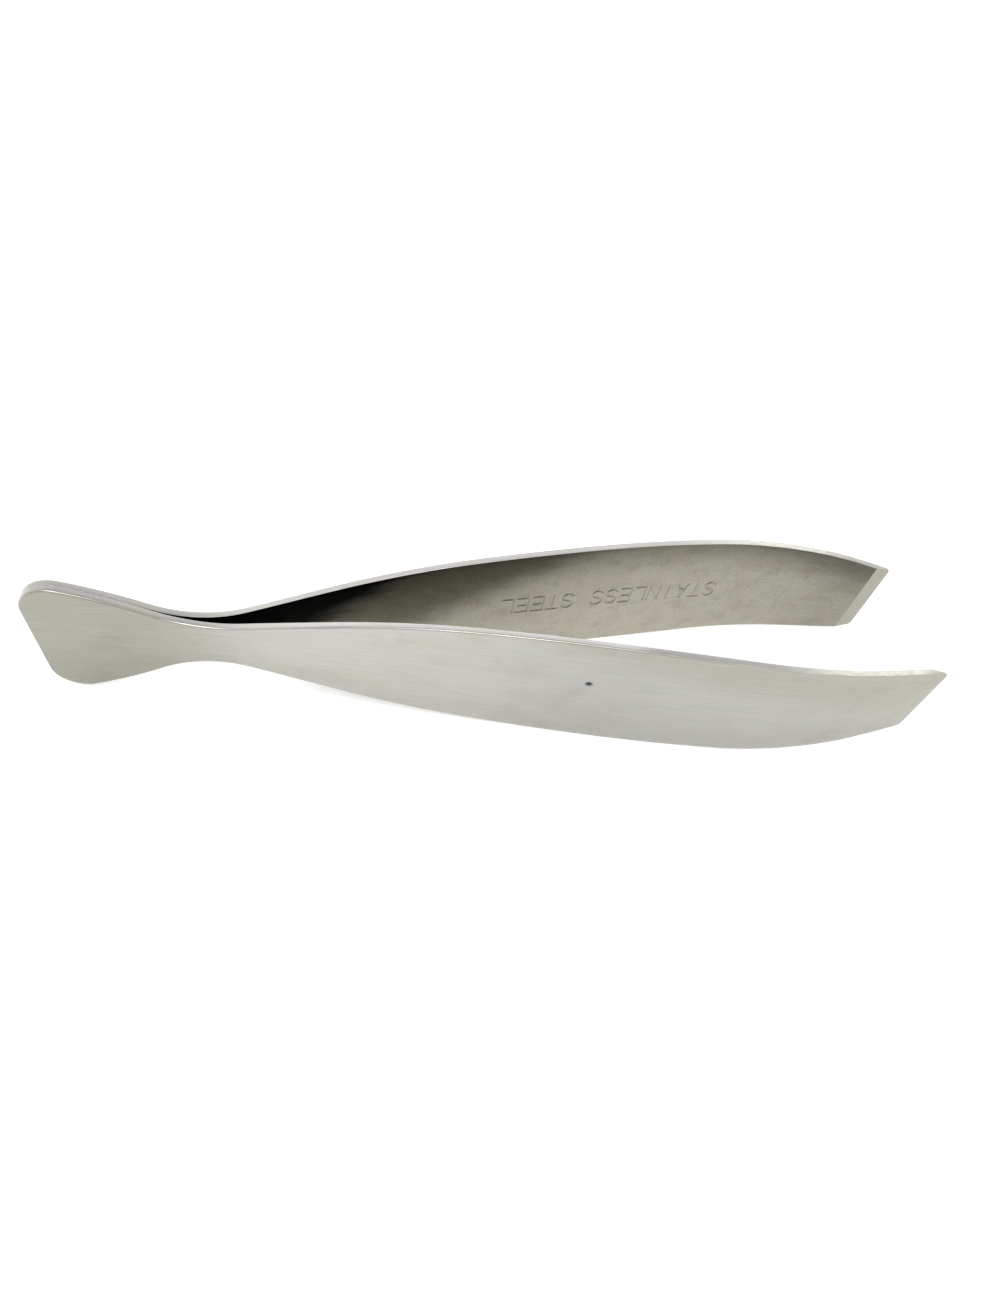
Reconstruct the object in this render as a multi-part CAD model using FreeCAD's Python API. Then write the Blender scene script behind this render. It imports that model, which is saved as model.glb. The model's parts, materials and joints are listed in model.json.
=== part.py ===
import FreeCAD, Part
import math
import os

# Stamp tongs: two mirrored leaves of spring stainless, laid face to face at the tail and
# welded along its end. Each leaf is flat at the tail, bends outward at a narrow neck, bows
# to its widest gap behind the tips and turns in again, so that only the tips meet.
#
# Frame: X runs from the tail to the tips, the arms open along Y, and Z is up. The tongs
# stand on their lower edges. The origin is under the middle of their length, between the
# arms, at the height of the lowest edge.
#
# The shapes are first drawn with X = 0 at the tail's end and Z = 0 along the middle of the
# blade. Lengths are in millimetres and angles in degrees.

# Overall
LENGTH = 120.0
SHEET = 1.0                  # thickness of each leaf

# Outline of a leaf seen face on, upper half, from the middle of the tail's end to the tip
TAIL_END_HALF = 5.6          # straight part of the end, measured from the middle
TAIL_CORNER_RADIUS = 3.8
TAIL_CORNER_TURN = 106.0
FLANK_RADIUS = 50.0          # slightly rounded taper from the tail's corner to the neck
FLANK_TURN = 11.7
NECK_RADIUS = 16.5
NECK_TURN = 41.0
SHOULDER_LENGTH = 11.0       # straight flare after the neck
SHOULDER_RADIUS = 115.5
SHOULDER_TURN = 9.8
BELLY_RADIUS = 316.0         # long, nearly straight middle of the blade
BELLY_TURN = 9.4
TIP_TAPER_RADIUS = 102.5
TIP_TAPER_TURN = 9.0         # runs past the square cut at the tip
TIP_CORNER_RADIUS = 0.6

# Bow of a leaf's inner face seen edge on, from the tail's end to the tip
TAIL_FLAT_LENGTH = 12.1
NECK_BEND_RADIUS = 102.0
NECK_BEND_TURN = 8.93
SLOPE_LENGTH = 45.2
BOW_RADIUS = 440.0
BOW_TURN = 2.5
TOE_BEND_RADIUS = 77.0
TOE_BEND_TURN = 15.75
TOE_LENGTH = 12.0            # straight toe, which runs past the cut at the tip

# Ground grip faces at the tips
GRIP_LENGTH = 2.6
CLOSED_GAP = 0.1             # between the grip faces when the arms are pressed shut

# Neck hinge, where the leaf flexes
KNUCKLE_CLEARANCE = 0.03

# Weld along the tail's end, ground flush with the leaves
WELD_DEPTH = 0.8
WELD_WIDTH = 0.8
WELD_REACH = 4.5             # how far it runs round the corners

# Larger than any section of a leaf, for cutting tools
PAST_EVERYTHING = 40.0

X_AXIS = FreeCAD.Vector(1, 0, 0)
Y_AXIS = FreeCAD.Vector(0, 1, 0)
Z_AXIS = FreeCAD.Vector(0, 0, 1)
ORIGIN = FreeCAD.Vector(0, 0, 0)


def line(length):
    return {"length": length, "turn": 0.0}


def arc(radius, turn):
    """An arc of the path. A positive turn bends it to the left and a negative one to the right."""
    return {"radius": radius, "turn": turn}


OUTLINE_PATH = [
    line(TAIL_END_HALF),
    arc(TAIL_CORNER_RADIUS, -TAIL_CORNER_TURN),
    arc(FLANK_RADIUS, -FLANK_TURN),
    arc(NECK_RADIUS, NECK_TURN),
    line(SHOULDER_LENGTH),
    arc(SHOULDER_RADIUS, -SHOULDER_TURN),
    arc(BELLY_RADIUS, -BELLY_TURN),
    arc(TIP_TAPER_RADIUS, -TIP_TAPER_TURN),
]
NECK_STEP = 3                # places in OUTLINE_PATH
BELLY_STEP = 6

BOW_PATH = [
    line(TAIL_FLAT_LENGTH),
    arc(NECK_BEND_RADIUS, NECK_BEND_TURN),
    line(SLOPE_LENGTH),
    arc(BOW_RADIUS, -BOW_TURN),
    arc(TOE_BEND_RADIUS, -TOE_BEND_TURN),
    line(TOE_LENGTH),
]


def ahead(point, heading, distance):
    """The point at a distance along a heading, in the path's own plane."""
    angle = math.radians(heading)
    return (point[0] + distance * math.cos(angle), point[1] + distance * math.sin(angle))


def trace(path, start, heading, left_shift=0.0):
    """Follow a path of tangent lines and arcs.

    left_shift moves the whole path sideways: arcs that bend left get tighter by it, and
    arcs that bend right get wider. Returns one dictionary for each piece of the path.
    """
    pieces = []
    point = start
    for step in path:
        piece = {"start": point, "heading": heading}
        if step["turn"] == 0.0:
            piece["end"] = ahead(point, heading, step["length"])
        else:
            side = 1.0 if step["turn"] > 0 else -1.0
            radius = step["radius"] - side * left_shift
            centre = ahead(point, heading + 90.0, side * radius)
            middle_heading = heading + step["turn"] / 2.0
            heading = heading + step["turn"]
            piece["centre"] = centre
            piece["radius"] = radius
            piece["middle"] = ahead(centre, middle_heading - 90.0, side * radius)
            piece["end"] = ahead(centre, heading - 90.0, side * radius)
        pieces.append(piece)
        point = piece["end"]
    return pieces


def edges_of(pieces, place):
    """Edges for the pieces of a path. place turns a point of the path's plane into a vector."""
    edges = []
    for piece in pieces:
        start = place(piece["start"])
        end = place(piece["end"])
        if "middle" in piece:
            edges.append(Part.Arc(start, place(piece["middle"]), end).toShape())
        else:
            edges.append(Part.makeLine(start, end))
    return edges


def on_xy(point):
    return FreeCAD.Vector(point[0], point[1], 0.0)


def on_xz(point):
    return FreeCAD.Vector(point[0], 0.0, point[1])


def box_between(low, high):
    size = high - low
    return Part.makeBox(size.x, size.y, size.z, low)


def outline_prism(inset=0.0):
    """Block whose outline, seen along Y, is the leaf's, or lies inside it by the inset."""
    pieces = trace(OUTLINE_PATH, (inset, 0.0), 90.0, -inset)
    upper = edges_of(pieces, on_xz)
    lower = [edge.mirror(ORIGIN, Z_AXIS) for edge in upper]
    tip_top = pieces[-1]["end"]
    tip_line = Part.makeLine(on_xz(tip_top), on_xz((tip_top[0], -tip_top[1])))
    wire = Part.Wire(Part.sortEdges(upper + lower + [tip_line])[0])
    face = Part.Face(wire)
    face.translate(FreeCAD.Vector(0, -PAST_EVERYTHING, 0))
    block = face.extrude(FreeCAD.Vector(0, 2 * PAST_EVERYTHING, 0))
    low = FreeCAD.Vector(-1.0, -PAST_EVERYTHING, -PAST_EVERYTHING)
    high = FreeCAD.Vector(LENGTH, PAST_EVERYTHING, PAST_EVERYTHING)
    block = block.common(box_between(low, high))
    corners = [edge for edge in block.Edges if is_tip_corner(edge)]
    return block.makeFillet(TIP_CORNER_RADIUS, corners)


def is_tip_corner(edge):
    """True for the two edges along Y where the sides of the outline meet the tip's cut."""
    box = edge.BoundBox
    near_tip = box.XMin > LENGTH - 0.01
    along_y = box.YLength > PAST_EVERYTHING and box.ZLength < 0.01
    return near_tip and along_y


def bowed_strip():
    """The rear leaf's sheet, bent to its bow and still wider than its outline."""
    inner = trace(BOW_PATH, (0.0, 0.0), 0.0)
    outer = trace(BOW_PATH, (0.0, SHEET), 0.0, SHEET)
    tail_end = Part.makeLine(on_xy(inner[0]["start"]), on_xy(outer[0]["start"]))
    toe_end = Part.makeLine(on_xy(inner[-1]["end"]), on_xy(outer[-1]["end"]))
    edges = edges_of(inner, on_xy) + edges_of(outer, on_xy) + [tail_end, toe_end]
    face = Part.Face(Part.Wire(Part.sortEdges(edges)[0]))
    face.translate(FreeCAD.Vector(0, 0, -PAST_EVERYTHING))
    return face.extrude(FreeCAD.Vector(0, 0, 2 * PAST_EVERYTHING))


def hinge_point():
    """Middle of the sheet's thickness at the neck's narrowest place, with its slope there."""
    neck = trace(OUTLINE_PATH, (0.0, 0.0), 90.0)[NECK_STEP]
    middle_radius = NECK_BEND_RADIUS - SHEET / 2.0
    slope = math.degrees(math.asin((neck["centre"][0] - TAIL_FLAT_LENGTH) / middle_radius))
    bend_centre = (TAIL_FLAT_LENGTH, NECK_BEND_RADIUS)
    return ahead(bend_centre, slope - 90.0, middle_radius), slope


def closing_angle():
    """How far an arm turns about its neck until its grip face meets the closed gap."""
    hinge, _ = hinge_point()
    toe = trace(BOW_PATH, (0.0, 0.0), 0.0)[-1]
    heel_x = LENGTH - GRIP_LENGTH
    toe_slope = math.tan(math.radians(toe["heading"]))
    heel_y = toe["start"][1] + (heel_x - toe["start"][0]) * toe_slope
    reach = math.hypot(heel_x - hinge[0], heel_y - hinge[1])
    open_angle = math.atan2(heel_y - hinge[1], heel_x - hinge[0])
    shut_angle = math.asin((CLOSED_GAP / 2.0 - hinge[1]) / reach)
    return math.degrees(open_angle - shut_angle)


def grinding_tool():
    """Everything a pressed-shut rear arm may not cover, turned back to where the arm is open."""
    low = FreeCAD.Vector(LENGTH - 4 * GRIP_LENGTH, -PAST_EVERYTHING, -PAST_EVERYTHING)
    high = FreeCAD.Vector(LENGTH + GRIP_LENGTH, CLOSED_GAP / 2.0, PAST_EVERYTHING)
    tool = box_between(low, high)
    hinge, _ = hinge_point()
    tool.rotate(on_xy(hinge), Z_AXIS, closing_angle())
    return tool


def rear_leaf():
    """The whole rear leaf, not yet parted at the neck."""
    return bowed_strip().common(outline_prism()).cut(grinding_tool())


def knuckle(radius):
    """A round bar along the hinge axis."""
    hinge, _ = hinge_point()
    base = FreeCAD.Vector(hinge[0], hinge[1], -PAST_EVERYTHING)
    return Part.makeCylinder(radius, 2 * PAST_EVERYTHING, base, Z_AXIS)


def side_of_neck(towards_tip):
    """Block that covers one side of the section through the hinge, square to the sheet."""
    hinge, slope = hinge_point()
    low_x = 0.0 if towards_tip else -LENGTH
    high_x = LENGTH if towards_tip else 0.0
    low = FreeCAD.Vector(low_x, -PAST_EVERYTHING, -PAST_EVERYTHING)
    high = FreeCAD.Vector(high_x, PAST_EVERYTHING, PAST_EVERYTHING)
    block = box_between(low, high)
    block.translate(on_xy(hinge))
    block.rotate(on_xy(hinge), Z_AXIS, slope)
    return block


def rear_arm():
    """Blade from the neck to the tip, with a round end that turns about the hinge axis."""
    blade = rear_leaf().common(side_of_neck(towards_tip=True))
    round_end = knuckle(SHEET / 2.0).common(outline_prism())
    return blade.fuse(round_end).removeSplitter()


def tail_end_weld():
    """Bead that fills the rebates of both leaves along the tail's end and round its corners."""
    rim = outline_prism().cut(outline_prism(WELD_DEPTH))
    low = FreeCAD.Vector(-1.0, -WELD_WIDTH / 2.0, -PAST_EVERYTHING)
    high = FreeCAD.Vector(WELD_REACH, WELD_WIDTH / 2.0, PAST_EVERYTHING)
    return rim.common(box_between(low, high))


def rear_tail_plate():
    """Flat tail and the start of the bend, hollowed at the neck to take the arm's round end."""
    plate = rear_leaf().common(side_of_neck(towards_tip=False))
    socket = knuckle(SHEET / 2.0 + KNUCKLE_CLEARANCE)
    return plate.cut(socket).cut(tail_end_weld())


def mirrored(shape):
    """The front leaf's piece for one of the rear leaf's."""
    return shape.mirror(ORIGIN, Y_AXIS)


def lowest_edge_drop():
    """Distance from the blade's middle line down to its lowest edge, at the belly."""
    belly = trace(OUTLINE_PATH, (0.0, 0.0), 90.0)[BELLY_STEP]
    return belly["centre"][1] + belly["radius"]


def pieces():
    arm = rear_arm()
    plate = rear_tail_plate()
    return {
        "front_tail_plate": mirrored(plate),
        "rear_tail_plate": plate,
        "tail_end_weld": tail_end_weld(),
        "front_arm": mirrored(arm),
        "rear_arm": arm,
    }


def main():
    os.makedirs("parts", exist_ok=True)
    to_frame = FreeCAD.Vector(-LENGTH / 2.0, 0.0, lowest_edge_drop())
    for name, shape in pieces().items():
        if not shape.isValid() or len(shape.Solids) != 1:
            raise ValueError(name + " is not one valid solid")
        solid = shape.Solids[0]
        solid.translate(to_frame)
        solid.exportStep("parts/" + name + ".step")


main()
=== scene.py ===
import json
import math
from collections import namedtuple

import bpy
import numpy as np
from mathutils import Matrix, Vector


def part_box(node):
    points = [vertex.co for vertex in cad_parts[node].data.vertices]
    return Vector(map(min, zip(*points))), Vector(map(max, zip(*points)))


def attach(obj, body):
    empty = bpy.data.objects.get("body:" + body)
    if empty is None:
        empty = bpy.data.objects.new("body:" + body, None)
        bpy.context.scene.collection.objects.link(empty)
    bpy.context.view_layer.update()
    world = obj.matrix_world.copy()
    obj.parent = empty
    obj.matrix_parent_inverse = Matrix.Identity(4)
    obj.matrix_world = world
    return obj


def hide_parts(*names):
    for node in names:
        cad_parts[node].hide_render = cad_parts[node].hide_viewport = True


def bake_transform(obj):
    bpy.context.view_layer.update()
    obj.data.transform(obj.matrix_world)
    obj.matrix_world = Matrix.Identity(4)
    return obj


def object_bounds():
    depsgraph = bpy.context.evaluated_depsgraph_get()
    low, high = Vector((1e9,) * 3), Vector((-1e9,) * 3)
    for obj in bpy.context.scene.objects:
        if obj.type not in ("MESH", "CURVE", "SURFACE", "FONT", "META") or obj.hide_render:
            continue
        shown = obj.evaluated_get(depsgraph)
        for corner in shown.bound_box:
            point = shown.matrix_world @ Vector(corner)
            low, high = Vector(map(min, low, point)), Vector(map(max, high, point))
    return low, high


# The looks of a pair of stamp tongs: two sprung leaves of brushed stainless sheet, welded
# along the tail's end. Each leaf is one continuous piece that bends at its neck, and takes
# its outline, bow, thickness and grip face from the CAD frame.
# Everything is in metres, in the row frame. MM turns millimetres into metres.

MM = 0.001

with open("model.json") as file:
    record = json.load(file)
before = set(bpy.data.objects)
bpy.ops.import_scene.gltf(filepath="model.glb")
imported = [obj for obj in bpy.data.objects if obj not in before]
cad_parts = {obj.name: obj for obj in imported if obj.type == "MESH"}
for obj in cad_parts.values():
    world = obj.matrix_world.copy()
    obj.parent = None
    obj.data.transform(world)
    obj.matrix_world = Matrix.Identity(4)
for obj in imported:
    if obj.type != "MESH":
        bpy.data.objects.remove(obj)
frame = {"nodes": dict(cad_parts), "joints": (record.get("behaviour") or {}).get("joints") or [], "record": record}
cad_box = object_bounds()

# Rounding of the sheet's edges
OUTER_ROUNDING = 0.28 * MM
OUTER_ROUNDING_AT_TAIL = 0.32 * MM
OUTER_ROUNDING_AT_TIP = 0.10 * MM
INNER_ROUNDING = 0.07 * MM
ROUNDING_STEPS = 5               # strips of faces round each edge
MOST_OF_THICKNESS = 0.3          # a rounding takes at most this share of the sheet
JOINT_GAP = 0.004 * MM           # left between the two leaves where they lie face to face

# X where the tail's radius ends, where the plain radius starts and ends, and where the tip's starts
ROUNDING_PLACES = (-46 * MM, -32 * MM, 18 * MM, 36 * MM)

# Telling apart the CAD faces that the curves are read from
FACING_OUT = 0.9                 # least y in the normal of an outer face
MOST_Y_OF_WALL = 0.05            # most y in the normal of the sheet's edge wall
LEAST_Z_OF_WALL = 0.02           # least z in the normal of an upper wall
REBATE_SHARE = 0.35              # the weld's rebate takes less than this share of the sheet
OUTER_FACE_FROM = 0.9 * MM       # the tail's outer face is farther than this from the middle plane
PAST_HINGE = 0.2 * MM            # the arm's outer face is read from here on
SAME_PLACE = 1e-6                # points nearer than this along X count as one
CURVE_STEP = 0.02 * MM           # between the points of a dense curve
TOE_RUN_OUT = 1.0 * MM           # how far the inner bow is carried past the tip
GRIP_REACH = 5 * MM              # the grip face starts within this of its mount
HEEL_SAMPLES = 4000              # places tried for the grip face's start

# Spacing of the mesh along the leaf and across it
PLAIN_SPACING = 0.9 * MM
PLAIN_SPACING_ACROSS = 1.1 * MM
TAIL_CORNER_LENGTH = 5 * MM
TAIL_CORNER_SPACING = 0.22 * MM
TIP_CORNER_LENGTH = 0.7 * MM
TIP_CORNER_SPACING = 0.07 * MM
FINE_SPACING = 0.075 * MM
SPACING_GROWTH = 0.2             # how fast the spacing may grow away from a fine stretch
ACROSS_SAMPLES = 4001            # places across the blade that the spacing picks from
END_ROW_POINTS = 17              # vertices along each of the leaf's two straight ends
UV_SPAN = 150.0                  # millimetres of sheet to one unit of the UV layer

# Stamped mark inside the rear arm, upside down when the arm stands on its edge
MARK_TEXT = "STAINLESS STEEL"
MARK_START = 34.0 * MM           # where its first letter stands along X
MARK_LETTER_HEIGHT = 2.9 * MM
MARK_LETTER_WIDTH = 1.65 * MM
MARK_LETTER_PITCH = 2.30 * MM
MARK_STROKE = 0.31 * MM
MARK_DEPTH = 0.065 * MM
MARK_WALL = (0.25, 0.62)         # where a stroke's wall starts and ends, in stroke widths
MARK_RIM = (0.85, 0.2, 0.12)     # the rim's place and width in stroke widths, and its share of the depth
MARK_MARGIN = 0.3 * MM           # finely meshed beyond the first letter
MARK_BAND = 0.6 * MARK_LETTER_HEIGHT   # finely meshed above and below the middle line
ARC_STEPS = 8                    # straight strokes to an arc of a letter
NO_LENGTH = 1e-18                # a stroke whose squared length is below this is a point

# Small pit in the front arm's outer face
PIT_PLACE = (10.2 * MM, 2.1 * MM)      # along X, and above the blade's middle line
PIT_HALF_SIZE = (0.78 * MM, 0.66 * MM)
PIT_DEPTH = 0.14 * MM
PIT_FLOOR = 0.2                  # its flat bottom's share of its size
PIT_FINE_REACH = (0.7 * MM, 0.6 * MM)  # finely meshed about its middle
PIT_SPACING = 0.07 * MM

# Weld bead in the groove between the leaves
BEAD_REACH = 4.5 * MM
BEAD_HALF_WIDTH = 0.10 * MM
BEAD_CROWN = 0.012 * MM
BEAD_ROOT = 0.35 * MM
BEAD_FADE = 1.2 * MM
BEAD_SETBACK = 0.003 * MM        # how far the crown stays below the sheets' edges
BEAD_SPACING = 0.25 * MM
BEAD_END_POINTS = 41             # places along the tail's straight end
BEAD_CROWN_POINTS = 7            # across the crown

# Floor. It glows a little of its own, like a light table.
FLOOR_HALF_SIZE = 3.0
FLOOR_COLOUR = (0.93, 0.93, 0.92, 1.0)
FLOOR_ROUGHNESS = 0.9
FLOOR_GLOW = 0.36
FLOOR_GLOW_COLOUR = (1.0, 1.0, 0.99, 1.0)

# Light: azimuth from +Y towards +X, elevation, distance, size, brightness given to the floor
KEY_SOFTBOX = (192.0, 73.0, 3.0, (1.4, 1.4), 0.36)

# The room: brightness of its front and back walls and of its ceiling, and the elevations
# between which the walls fade into the ceiling
ROOM_FRONT = 0.72
ROOM_BACK = 1.15
ROOM_CEILING = 0.45
ROOM_FADE = (46.0, 70.0)
ROOM_COLOUR = (1.0, 1.0, 0.995, 1.0)

# Grain of the steel: how often the noise changes to a millimetre along, across and through the sheet
BRUSH_GRAIN = (0.10, 4.5, 4.5)
FINE_BRUSHING = 4.2              # the fine brushing is this many times as dense
BRUSHING_SHARES = (0.6, 0.4)     # of the broad and of the fine brushing
MOTTLE_GRAIN = (0.22, 0.30, 0.30)
GRINDING_GRAIN = (3.5, 0.9, 0.9)
SMUDGE_GRAIN = (0.18, 0.30, 0.30)
SCRATCH_GRAIN = (0.07, 6.0, 6.0)
INNER_FINE_GRAIN = (2.4, 3.2, 3.2)
INNER_BLOTCH_GRAIN = (0.30, 0.38, 0.38)
GRIT_GRAIN = (0.5, 2.5, 4.0)
RAGGED_GRAIN = (0.12, 0.5, 0.5)
RAGGED_REACH = 9.0               # most millimetres that it adds to a place along X

# Colours laid over the steel's own
# RECESS_SHADE is painted shade, laid into the pit's bottom and the stamped strokes by their depth
RECESS_SHADE = (0.012, 0.014, 0.012)
GRIT_DARK = (0.70, 0.69, 0.63)
GRIT_LIGHT = (0.90, 0.89, 0.82)

# What the noise does to the steel. A stretch is: low value, high value, and what each becomes.
BRUSHING_TONE = (0.35, 0.65, 0.0, 1.0)      # from the dark tone to the light one
MOTTLE_TONE = (0.42, 0.66, 0.0, 0.8)        # towards the warm tone
GRIT_TONE = (0.35, 0.65, 0.0, 1.0)
BRUSHING_CONTRAST = (0.3, 0.7)              # low and high value for the roughness
ROUGHNESS_SWING = 0.05                      # what the brushing takes from the roughness and adds to it
MOTTLE_ROUGHNESS = (0.4, 0.7, -0.02, 0.04)

# A change of finish, or a painted shade or highlight, multiplies the colour by a tint. As a value runs from low to
# high, the tint's share goes from the one number to the other, and it is held beyond them.
Change = namedtuple("Change", "low high share_at_low share_at_high tint slant", defaults=[0.0])

# Changes along the tongs. The value is X in millimetres plus the ragged noise, less slant times the
# height above the blade's middle line.
# Painted shade on the inner faces: the crotch dark, fading out along a slanted border
CROTCH_PAINTED_SHADE = Change(-25.0, -18.5, 1.0, 0.0, tint=(0.02, 0.02, 0.018), slant=1.5)
CROTCH_SHADE_FADE = Change(-11.0, 3.0, 1.0, 0.0, tint=(0.42, 0.42, 0.40), slant=2.1)
# Painted shade on the inner faces: darker towards the tip and at its end, and darker still in the tip's upper
# corner
INNER_TIP = Change(20.0, 62.0, 0.0, 1.0, tint=(0.78, 0.78, 0.78))
INNER_END = Change(50.0, 59.0, 0.0, 1.0, tint=(0.84, 0.84, 0.83))
INNER_TIP_CORNER = Change(54.0, 74.0, 0.0, 0.55, tint=(0.36, 0.36, 0.36), slant=-2.1)
OUTER_TAIL = Change(-46.0, -24.0, 0.7, 0.0, tint=(0.58, 0.575, 0.51))
# A painted highlight: the outer faces lighter round the neck
OUTER_NECK_SHEEN = Change(-16.0, 22.0, 0.6, 0.0, tint=(1.24, 1.24, 1.23))
OUTER_SHOULDER = Change(40.0, 72.0, 0.0, 0.65, tint=(0.84, 0.84, 0.76), slant=-5.0)
OUTER_TIP = Change(40.0, 62.0, 0.0, 0.5, tint=(0.82, 0.815, 0.76))
EDGE_TAIL = Change(-40.0, -22.0, 1.0, 0.0, tint=(0.68, 0.68, 0.67))
FRONT_EDGE_DULL = Change(16.0, 24.0, 0.0, 1.0, tint=(0.64, 0.64, 0.64))
REAR_EDGE_DULL = Change(-30.0, -20.0, 0.0, 1.0, tint=(0.87, 0.87, 0.87))
FRONT_EDGE_END = Change(58.0, 63.0, 0.0, 1.0, tint=(0.60, 0.60, 0.59))
REAR_EDGE_END = Change(50.0, 58.0, 0.0, 1.0, tint=(0.60, 0.60, 0.59))

# Where the edges' coarse grinding begins, as a stretch of the same value
FRONT_TIP_GRINDING = (36.0, 48.0, 0.0, 1.0)
REAR_TIP_GRINDING = (28.0, 42.0, 0.0, 1.0)

# Polish together with a painted highlight on the outer faces' roundings, along X, and from 0 at the face to 1 at
# the sheet's edge
TAIL_POLISH_AND_SHEEN = Change(-30.0, -18.0, 1.0, 0.0, tint=(1.3, 1.3, 1.3))
TIP_POLISH_AND_SHEEN = Change(20.0, 36.0, 0.0, 1.0, tint=(1.6, 1.6, 1.6))
POLISH_AND_SHEEN_ACROSS = (0.1, 0.4, 0.0, 1.0)
WHOLE_STRETCH = (0.0, 1.0, 0.0, 1.0)

# Wear and grain: the value is noise
SMUDGES = Change(0.52, 0.72, 0.0, 0.3, tint=(0.80, 0.80, 0.77))
SCRATCHES = Change(0.66, 0.72, 0.0, 1.0, tint=(1.16, 1.16, 1.16))
INNER_FINE = Change(0.38, 0.62, 0.0, 1.0, tint=(0.87, 0.87, 0.86))
INNER_BLOTCHES = Change(0.48, 0.68, 0.0, 1.0, tint=(0.88, 0.88, 0.89))

# Across the blade: the value is -1 at its lower edge and 1 at its upper edge
# Painted shade: the inner faces darker along their upper part
INNER_UPPER_SHADE = Change(0.35, 1.0, 0.0, 0.6, tint=(0.38, 0.38, 0.38))
# Painted shade: the outer faces darker towards their lower edge
OUTER_LOWER_SHADE = Change(-1.0, 0.1, 0.45, 0.0, tint=(0.75, 0.75, 0.73))

# Camera
CAMERA_AZIMUTH = -14.6
CAMERA_ELEVATION = 50.81
CAMERA_ROLL = 12.03
CAMERA_DISTANCE = 105.9 * MM
CAMERA_LENS = 21.06              # in millimetres, over a sensor of CAMERA_SENSOR
CAMERA_SENSOR = 36.0
CAMERA_CLIP_START = 5 * MM
OBJECT_RIGHT_OF_AXIS = 0.61 * MM
OBJECT_ABOVE_AXIS = 1.25 * MM


# ---------------------------------------------------------------- curves from the frame

def corners_of_faces(node, wanted):
    """Corners of the CAD node's faces whose normal passes the test, one row each."""
    mesh = frame["nodes"][node].data
    faces = [face for face in mesh.polygons if wanted(face.normal)]
    return np.array([mesh.vertices[i].co for face in faces for i in face.vertices], float)


def unique_by_x(points):
    """The points in order of x, with those at the same x merged."""
    points = points[np.argsort(points[:, 0])]
    keep = np.concatenate([[True], np.diff(points[:, 0]) > SAME_PLACE])
    return points[keep]


def tangents(knots):
    """Unit tangent at each knot, from the circle through it and its two neighbours."""
    step = np.diff(knots, axis=0)
    length = np.linalg.norm(step, axis=1)[:, None]
    slope = step / length
    inner = (slope[:-1] * length[1:] + slope[1:] * length[:-1]) / (length[1:] + length[:-1])
    first = 2 * slope[:1] - inner[:1]
    last = 2 * slope[-1:] - inner[-1:]
    out = np.concatenate([first, inner, last])
    return out / np.linalg.norm(out, axis=1)[:, None]


def dense_curve(knots):
    """Points and unit tangents along the smooth curve through the knots."""
    ends = tangents(knots)
    points, headings = [], []
    for a, b, ta, tb in zip(knots[:-1], knots[1:], ends[:-1], ends[1:]):
        span = np.linalg.norm(b - a)
        steps = max(2, math.ceil(span / CURVE_STEP))
        t = (np.arange(0, steps) / steps)[:, None]
        points.append(a * (2 * t**3 - 3 * t**2 + 1) + b * (3 * t**2 - 2 * t**3)
                      + span * ta * (t**3 - 2 * t**2 + t) + span * tb * (t**3 - t**2))
        headings.append((a - b) * (6 * t**2 - 6 * t) + span * ta * (3 * t**2 - 4 * t + 1)
                        + span * tb * (3 * t**2 - 2 * t))
    points.append(knots[-1:])
    headings.append(ends[-1:])
    headings = np.concatenate(headings)
    return np.concatenate(points), headings / np.linalg.norm(headings, axis=1)[:, None]


# The neck's bend, the height of the blade's middle line, and the rear arm's grip face
HINGE = Vector(frame["joints"][0]["pos_m"])
MIDDLE_HEIGHT = HINGE.z
GRIP = next(m for m in frame["record"]["mounts"] if m["name"] == "rear_grip_face")


def outline_curve():
    """Upper half of the leaf's outline, in x and z from the middle line, tail end to tip."""
    def upper_wall(normal):
        return abs(normal.y) < MOST_Y_OF_WALL and normal.z > LEAST_Z_OF_WALL

    walls = [corners_of_faces(node, upper_wall) for node in ("rear_tail_plate", "rear_arm")]
    points = np.concatenate(walls)
    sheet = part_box("rear_tail_plate")[1].y
    clear_of_weld = points[:, 1] > REBATE_SHARE * sheet
    knots = unique_by_x(points[clear_of_weld])[:, [0, 2]]
    knots[:, 1] -= MIDDLE_HEIGHT
    return dense_curve(knots)


def bow_curve():
    """Outer face of the rear leaf in x and y, from the tail's end to the tip."""
    plate = corners_of_faces("rear_tail_plate", lambda normal: normal.y > FACING_OUT)
    arm = corners_of_faces("rear_arm", lambda normal: normal.y > FACING_OUT)
    plate = plate[plate[:, 1] > OUTER_FACE_FROM]
    arm = arm[arm[:, 0] > HINGE.x + PAST_HINGE]
    knots = unique_by_x(np.concatenate([plate, arm]))[:, [0, 1]]
    return dense_curve(knots)


outline, outline_heading = outline_curve()
outer_bow, bow_heading = bow_curve()
SHEET = outer_bow[0, 1]
bow_normal = np.stack([-bow_heading[:, 1], bow_heading[:, 0]], axis=1)
inner_bow = outer_bow - SHEET * bow_normal
past_the_tip = inner_bow[-1] + TOE_RUN_OUT * bow_heading[-1]
inner_bow = np.concatenate([inner_bow, [past_the_tip]])


def outer_y(x):
    """Outer face of the rear leaf."""
    return np.interp(x, outer_bow[:, 0], outer_bow[:, 1])


def bent_inner_y(x):
    """Inner face of the rear leaf before the grip face is ground."""
    return np.interp(x, inner_bow[:, 0], inner_bow[:, 1])


def grip_plane_y(x):
    """Distance of the ground grip face's plane from the middle plane."""
    place, axis = GRIP["pos_m"], GRIP["axis"]
    return place[1] - (x - place[0]) * axis[0] / axis[1]


def inner_y(x):
    """Inner face of the rear leaf."""
    ground = np.where(x > GRIP["pos_m"][0] - GRIP_REACH, grip_plane_y(x), 0.0)
    return np.maximum(np.maximum(bent_inner_y(x), ground), JOINT_GAP)


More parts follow.
